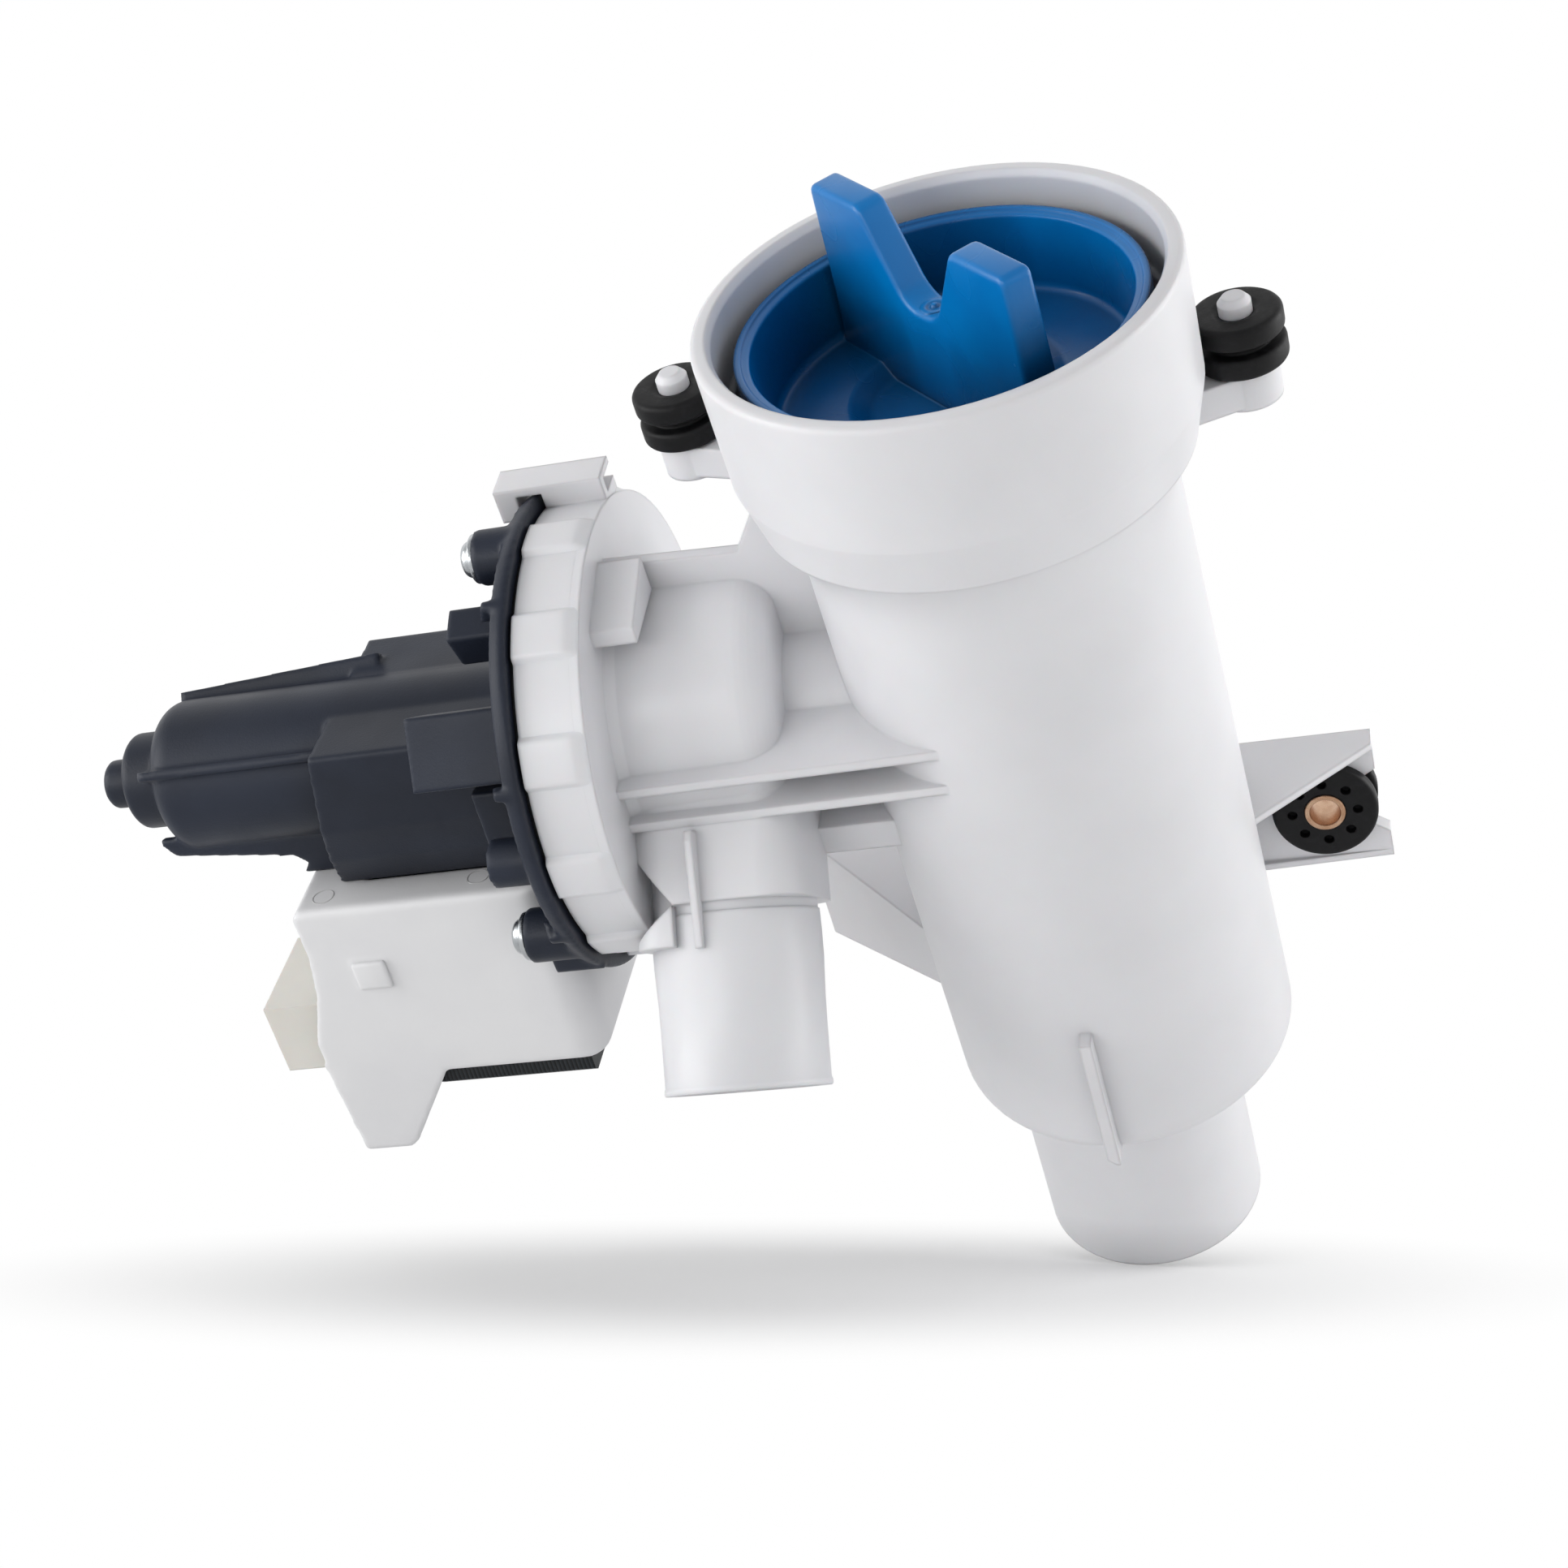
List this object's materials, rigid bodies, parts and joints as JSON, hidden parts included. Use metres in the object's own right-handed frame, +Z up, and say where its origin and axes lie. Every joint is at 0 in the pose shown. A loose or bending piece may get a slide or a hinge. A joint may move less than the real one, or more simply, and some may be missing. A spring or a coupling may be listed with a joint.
{
  "type": "washer drain pump",
  "caption": "Drain pump of a front-loading washer: filter chamber with pull-out cap and basket, volute with outlet port, and a synchronous motor with its coil cover.",
  "frame": {"origin": "centre of the inlet spigot's end face, at the bottom of the filter chamber", "axes": "+Z up the filter chamber to its cap; the motor points toward -X; the outlet port is on the -Y side"},
  "size_m": [0.2505, 0.1142, 0.2389],
  "materials": {
    "white_polypropylene": "satin white moulding",
    "blue_polypropylene": "glossy blue moulding",
    "basket_polypropylene": "satin light blue moulding",
    "seal_rubber": "matte black",
    "mount_rubber": "matte black",
    "sleeve_brass": "turned brass",
    "dark_polyester": "matte dark grey moulding",
    "zinc_steel": "zinc-plated",
    "holder_polyester": "satin moulding",
    "bearing_carbon": "matte carbon",
    "impeller_polypropylene": "satin moulding",
    "stainless_steel": "ground",
    "ferrite": "matte ferrite",
    "lamination_steel": "varnished laminations",
    "bobbin_polyamide": "satin moulding",
    "enamelled_copper": "enamelled copper wire",
    "cutout_plastic": "matte black",
    "cover_polyester": "satin white moulding",
    "cream_polyamide": "satin cream moulding",
    "tinned_brass": "tinned"
  },
  "bodies": {
    "root": {"filter_housing": "white_polypropylene", "front_grommet_left": "mount_rubber", "front_grommet_right": "mount_rubber", "rear_grommet": "mount_rubber", "rear_sleeve": "sleeve_brass", "motor_housing": "dark_polyester", "flange_seal": "seal_rubber", "flange_screws": "zinc_steel", "bearing_holder": "holder_polyester", "bearing_holder_seal": "seal_rubber", "shaft_seal": "seal_rubber", "front_bearing": "bearing_carbon", "rear_bearing": "bearing_carbon", "stator_core": "lamination_steel", "coil_bobbins": "bobbin_polyamide", "coil_windings": "enamelled_copper", "thermal_cutout": "cutout_plastic", "coil_cover": "cover_polyester", "terminal_block": "cream_polyamide", "terminal_blades": "tinned_brass"},
    "filter_insert": {"debris_filter": "basket_polypropylene"},
    "cap": {"filter_cap": "blue_polypropylene", "cap_seal": "seal_rubber"},
    "rotor": {"rotor_magnet": "ferrite", "drive_drum": "impeller_polypropylene"},
    "impeller_set": {"impeller": "impeller_polypropylene", "rotor_shaft": "stainless_steel", "driven_dog": "impeller_polypropylene", "coupling_damper": "seal_rubber"}
  },
  "joints": [
    {"name": "filter_pull", "type": "slide", "parent": "root", "child": "filter_insert", "axis": [0, 0, 1], "range_m": [0, 0.15]},
    {"name": "cap_turn", "type": "hinge", "parent": "filter_insert", "child": "cap", "pos_m": [0, 0, 0.2], "axis": [0, 0, 1], "range_deg": [0, 120]},
    {"name": "rotor_spin", "type": "hinge", "parent": "root", "child": "rotor", "pos_m": [-0.13, 0, 0.1435], "axis": [1, 0, 0], "continuous": true},
    {"name": "impeller_lag", "type": "hinge", "parent": "rotor", "child": "impeller_set", "pos_m": [-0.06, 0, 0.1435], "axis": [1, 0, 0], "range_deg": [-138, 138]}
  ]
}
